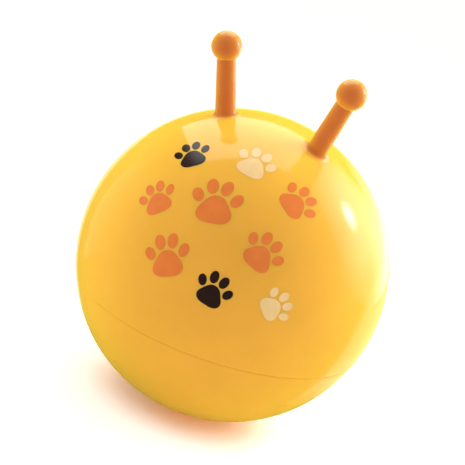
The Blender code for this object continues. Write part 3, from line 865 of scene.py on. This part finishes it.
class HOPPER_OT_valve(bpy.types.Operator):
    """Make the valve's grommet and its stopper"""
    bl_idname = "hopper.valve"
    bl_label = "Valve"

    def execute(self, context):
        sizes = context.scene.hopper_sizes
        colours = context.scene.hopper_colours
        skin_point = BALL_CENTRE + VALVE_AXIS * sizes.ball_radius
        edge = VALVE_EDGE
        steps = ARC_STEPS // 4
        lip = sizes.valve_lip_height
        floor = lip - sizes.valve_recess_depth
        recess = sizes.stopper_head_radius + VALVE_PLAY
        bore = sizes.valve_bore_radius
        depth = -sizes.valve_tube_depth
        outline = [(0.0, depth), (sizes.valve_tube_radius, depth), (sizes.valve_tube_radius, -edge * 2),
                   (sizes.valve_lip_radius, -edge * 2)]
        outline += arc((sizes.valve_lip_radius - edge, lip - edge), edge, 0.0, math.pi / 2, steps)
        outline += arc((recess + edge / 2, lip - edge / 2), edge / 2, math.pi / 2, math.pi, steps)
        outline += [(recess, floor), (bore + edge / 2, floor)]
        outline += arc((bore + edge / 2, floor - edge / 2), edge / 2, math.pi / 2, math.pi, steps)
        outline += [(bore, depth + edge), (0.0, depth + edge)]
        vinyl = cast_vinyl("Moulded yellow vinyl", colours.skin_yellow, roughness=0.2, scatter_mm=6)
        grommet = turned_piece("valve_grommet", outline, VALVE_SIDES, skin_point, VALVE_AXIS, vinyl)
        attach(grommet, "ball")
        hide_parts("valve_seat")

        head_low = floor + VALVE_PLAY
        head_high = head_low + sizes.stopper_head_thickness
        shank = bore - VALVE_PLAY
        pitch = (sizes.stopper_shank_length - STOPPER_TIP) / STOPPER_RIBS
        end = head_low - sizes.stopper_shank_length
        outline = [(0.0, end)]
        outline += arc((STOPPER_TIP_FLAT, end + edge), edge, -math.pi / 2, 0.0, steps)
        for rib in reversed(range(STOPPER_RIBS)):
            middle = head_low - (rib + 0.75) * pitch
            outline += [(shank - edge, middle - pitch / 4)]
            outline += arc((shank - edge, middle), edge, -math.pi / 2, math.pi / 2, steps)
            outline += [(shank - edge, middle + pitch / 4)]
        outline += [(shank - edge, head_low), (sizes.stopper_head_radius - edge / 2, head_low)]
        outline += arc((sizes.stopper_head_radius - edge / 2, head_low + edge / 2), edge / 2,
                       -math.pi / 2, 0.0, steps)
        outline += arc((sizes.stopper_head_radius - edge, head_high - edge), edge, 0.0, math.pi / 2, steps)
        outline += [(DISH_RADIUS, head_high - DISH_SIDE), (0.0, head_high - DISH_MIDDLE)]
        white = cast_vinyl("Moulded white vinyl", colours.stopper_white, roughness=0.3, scatter_mm=4,
                           sheen=0.0)
        stopper = turned_piece("valve_stopper", outline, VALVE_SIDES, skin_point, VALVE_AXIS, white)
        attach(stopper, "valve_plug")
        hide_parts("valve_plug")
        return {"FINISHED"}


def add_camera(context):
    """The photograph's view: the ball's middle falls on its pixel, with the photograph's lean."""
    right, up, back = camera_axes()
    pixel = VIEW_DISTANCE / FOCAL_PIXELS
    across_pixels = BALL_MIDDLE_PIXEL[0] - PHOTO_PIXELS / 2
    down_pixels = BALL_MIDDLE_PIXEL[1] - PHOTO_PIXELS / 2
    place = BALL_CENTRE + back * VIEW_DISTANCE
    target = BALL_CENTRE - right * across_pixels * pixel + up * down_pixels * pixel
    away = (place - target).normalized()
    above = away.cross(right).normalized()
    turn = Matrix((above.cross(away), above, away)).transposed()
    lens = bpy.data.cameras.new("Camera")
    lens.sensor_width = SENSOR_WIDTH_MM
    lens.lens = FOCAL_PIXELS / PHOTO_PIXELS * SENSOR_WIDTH_MM
    camera = new_object("Camera", lens)
    camera.matrix_world = Matrix.Translation(place) @ turn.to_4x4()
    context.scene.camera = camera


def add_soft_box(name, middle, size, radiance, facing=None, hot=(0.5, 0.5), reach=2.0, matt=True,
                 gloss=True):
    """A soft box in the camera's axes, right, up and back of the ball's middle.

    It shines back along facing, a direction, which is the way to its own middle if not given.
    It is brightest at hot, a place on it from (0, 0) to (1, 1), and fades out at reach from there.
    matt and gloss say whether it lights surfaces and whether they reflect it."""
    right, up = camera_axes()[:2]
    out = from_camera(facing or middle).normalized()
    overhead = abs(out.dot(up)) > 0.9
    wide = right if overhead else up.cross(out).normalized()
    lamp = bpy.data.lights.new(name, "AREA")
    lamp.shape = "RECTANGLE"
    lamp.size, lamp.size_y = size
    lamp.energy = radiance * math.pi * size[0] * size[1]
    lamp.use_nodes = True
    tree = lamp.node_tree
    tree.nodes.clear()
    spot = add(tree, "ShaderNodeNewGeometry").outputs["Parametric"]
    distance = add(tree, "ShaderNodeVectorMath", {0: spot, 1: (*hot, 0.0)}, operation="DISTANCE")
    glow = add(tree, "ShaderNodeMapRange",
               {"Value": distance.outputs["Value"], "From Min": 0.0, "From Max": reach,
                "To Min": 1.0, "To Max": 0.0}, interpolation_type="SMOOTHSTEP")
    light = add(tree, "ShaderNodeEmission", {"Strength": glow})
    add(tree, "ShaderNodeOutputLight", {"Surface": light})
    box = new_object(name, lamp)
    turn = Matrix((wide, out.cross(wide), out)).transposed()
    box.matrix_world = Matrix.Translation(BALL_CENTRE + from_camera(middle)) @ turn.to_4x4()
    box.visible_camera = False
    box.visible_diffuse = matt
    box.visible_glossy = gloss


def add_glow(colour):
    """The light that comes through the vinyl and warms the shadow just in front of the ball."""
    lamp = bpy.data.lights.new("Glow through the skin", "POINT")
    lamp.color = colour
    lamp.energy = GLOW_POWER
    lamp.shadow_soft_size = GLOW_SIZE
    lamp.use_shadow = False
    glow = new_object("Glow through the skin", lamp)
    glow.location = GLOW_PLACE
    glow.visible_camera = False
    glow.visible_glossy = False


def add_world(context):
    """A white studio: white where the camera looks, a soft level of fill on surfaces, and in reflections a
    pale backdrop behind the object in a dim room."""
    world = bpy.data.worlds.new("Studio")
    world.use_nodes = True
    tree = world.node_tree
    tree.nodes.clear()
    path = add(tree, "ShaderNodeLightPath").outputs
    seen = add(tree, "ShaderNodeMath", {0: path["Is Camera Ray"], 1: path["Is Transmission Ray"]},
               operation="MAXIMUM")
    ahead = add(tree, "ShaderNodeVectorMath",
                {0: add(tree, "ShaderNodeTexCoord").outputs["Generated"], 1: -camera_axes()[2]},
                operation="DOT_PRODUCT").outputs["Value"]
    backdrop = add(tree, "ShaderNodeMapRange",
                   {"Value": ahead, "From Min": BACKDROP_EDGE[0], "From Max": BACKDROP_EDGE[1],
                    "To Min": ROOM_LEVEL, "To Max": BACKDROP_LEVEL})
    # The fill is even on the camera's side and falls off behind the object, which the lamps light more
    spill = add(tree, "ShaderNodeMapRange",
                {"Value": ahead, "From Min": FILL_EDGE[0], "From Max": FILL_EDGE[1],
                 "To Min": FRONT_FILL, "To Max": REAR_FILL})
    fill = add(tree, "ShaderNodeMix", {"Factor": path["Is Glossy Ray"], "A": spill, "B": backdrop})
    level = add(tree, "ShaderNodeMix", {"Factor": seen, "A": fill, "B": 1.0})
    sky = add(tree, "ShaderNodeBackground", {"Color": WHITE, "Strength": level})
    add(tree, "ShaderNodeOutputWorld", {"Surface": sky})
    context.scene.world = world


class HOPPER_OT_stage(bpy.types.Operator):
    """Set the floor, the studio light and the photograph's camera"""
    bl_idname = "hopper.stage"
    bl_label = "Stage"

    def execute(self, context):
        colours = context.scene.hopper_colours
        shape = bmesh.new()
        bmesh.ops.create_grid(shape, x_segments=1, y_segments=1, size=FLOOR_HALF)
        floor = new_object("floor", mesh_of("floor", shape, smooth=False), paper_sweep(colours.floor_white))
        add_camera(context)
        for name, settings in SOFT_BOXES.items():
            add_soft_box(name, **settings)
        add_glow(colours.skin_yellow)
        add_world(context)
        context.scene.view_settings.view_transform = "Standard"
        return {"FINISHED"}


class HOPPER_PT_sidebar(bpy.types.Panel):
    """The hopper's pieces, sizes and colours"""
    bl_idname = "HOPPER_PT_sidebar"
    bl_label = "Hopper ball"
    bl_space_type = "VIEW_3D"
    bl_region_type = "UI"
    bl_category = "Hopper"

    def draw(self, context):
        for operator in OPERATORS:
            self.layout.operator(operator.bl_idname)
        for settings in (context.scene.hopper_sizes, context.scene.hopper_colours):
            for name in settings.__annotations__:
                self.layout.prop(settings, name)


OPERATORS = (HOPPER_OT_ball_skin, HOPPER_OT_horns, HOPPER_OT_paw_print, HOPPER_OT_valve, HOPPER_OT_stage)
CLASSES = (HopperSizes, HopperColours) + OPERATORS + (HOPPER_PT_sidebar,)


def register():
    for each in CLASSES:
        bpy.utils.register_class(each)
    bpy.types.Scene.hopper_sizes = PointerProperty(type=HopperSizes)
    bpy.types.Scene.hopper_colours = PointerProperty(type=HopperColours)


def unregister():
    del bpy.types.Scene.hopper_colours
    del bpy.types.Scene.hopper_sizes
    for each in reversed(CLASSES):
        bpy.utils.unregister_class(each)


def main():
    register()
    bpy.ops.hopper.ball_skin()
    bpy.ops.hopper.horns()
    bpy.ops.hopper.paw_print()
    bpy.ops.hopper.valve()
    bpy.ops.hopper.stage()


if __name__ == "__main__":
    main()
